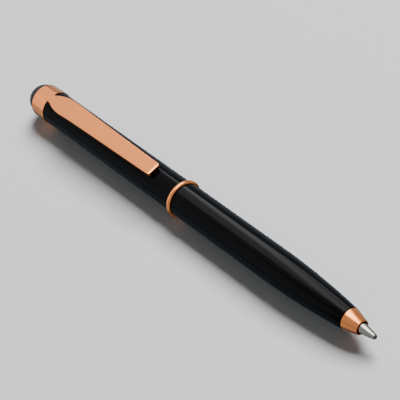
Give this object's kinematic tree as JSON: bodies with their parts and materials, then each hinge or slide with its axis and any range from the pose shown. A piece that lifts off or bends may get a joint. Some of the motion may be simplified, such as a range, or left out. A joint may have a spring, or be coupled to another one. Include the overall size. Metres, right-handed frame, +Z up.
{
  "type": "retractable ballpoint pen",
  "caption": "Slim twist-action retractable ballpoint pen with black barrels, rose gold clip, centre ring and nib, and a rubber stylus dome on its tail.",
  "frame": {"origin": "half way along the pen's length, under its axis, at the lowest flat of the centre ring that it lies on", "axes": "+X along the pen towards its writing tip, +Z up through the clip, +Y across"},
  "size_m": [0.134, 0.0104, 0.0111],
  "materials": {
    "black_lacquer": "black gloss lacquer on brass tube",
    "rose_gold": "polished rose gold plating",
    "brass": "machined brass",
    "spring_steel": "bright spring steel",
    "black_acetal": "moulded black acetal",
    "white_acetal": "moulded natural acetal",
    "stylus_rubber": "satin black conductive rubber",
    "nickel_silver": "turned nickel silver",
    "carbide": "polished tungsten carbide",
    "blue_ink": "ballpoint ink"
  },
  "bodies": {
    "lower": {"lower_barrel": "black_lacquer", "centre_ring": "rose_gold", "nib": "rose_gold", "mechanism_sleeve": "brass", "retaining_ring": "spring_steel", "thrust_washer": "black_acetal", "friction_ring": "stylus_rubber"},
    "upper": {"upper_barrel": "black_lacquer", "clip_band": "rose_gold", "stylus_holder": "brass", "stylus_dome": "stylus_rubber", "tail_bush": "brass", "drive_bush": "black_acetal", "cam_tube": "white_acetal"},
    "clip": {"clip_arm": "rose_gold"},
    "refill": {"follower": "black_acetal", "follower_pin": "spring_steel", "refill_plug": "black_acetal", "refill_tube": "brass", "ink_column": "blue_ink", "refill_tip": "nickel_silver"},
    "ball": {"writing_ball": "carbide"}
  },
  "joints": [
    {"name": "barrel_twist", "type": "hinge", "parent": "lower", "child": "upper", "pos_m": [0, 0, 0.00517], "axis": [1, 0, 0], "range_deg": [-120, 0]},
    {"name": "refill_slide", "type": "slide", "parent": "lower", "child": "refill", "axis": [1, 0, 0], "range_m": [-0.0052, 0]},
    {"name": "clip_flex", "type": "hinge", "parent": "upper", "child": "clip", "pos_m": [-0.0565, 0, 0.01008], "axis": [0, -1, 0], "range_deg": [0, 3.5], "stiffness_Nm_per_rad": 4},
    {"name": "ball_roll", "type": "hinge", "parent": "refill", "child": "ball", "pos_m": [0.0664, 0, 0.00517], "axis": [0, 1, 0], "continuous": true}
  ],
  "couplings": [
    {"joint": "barrel_twist", "follows": "refill_slide", "rad_per_m": 402.7}
  ]
}
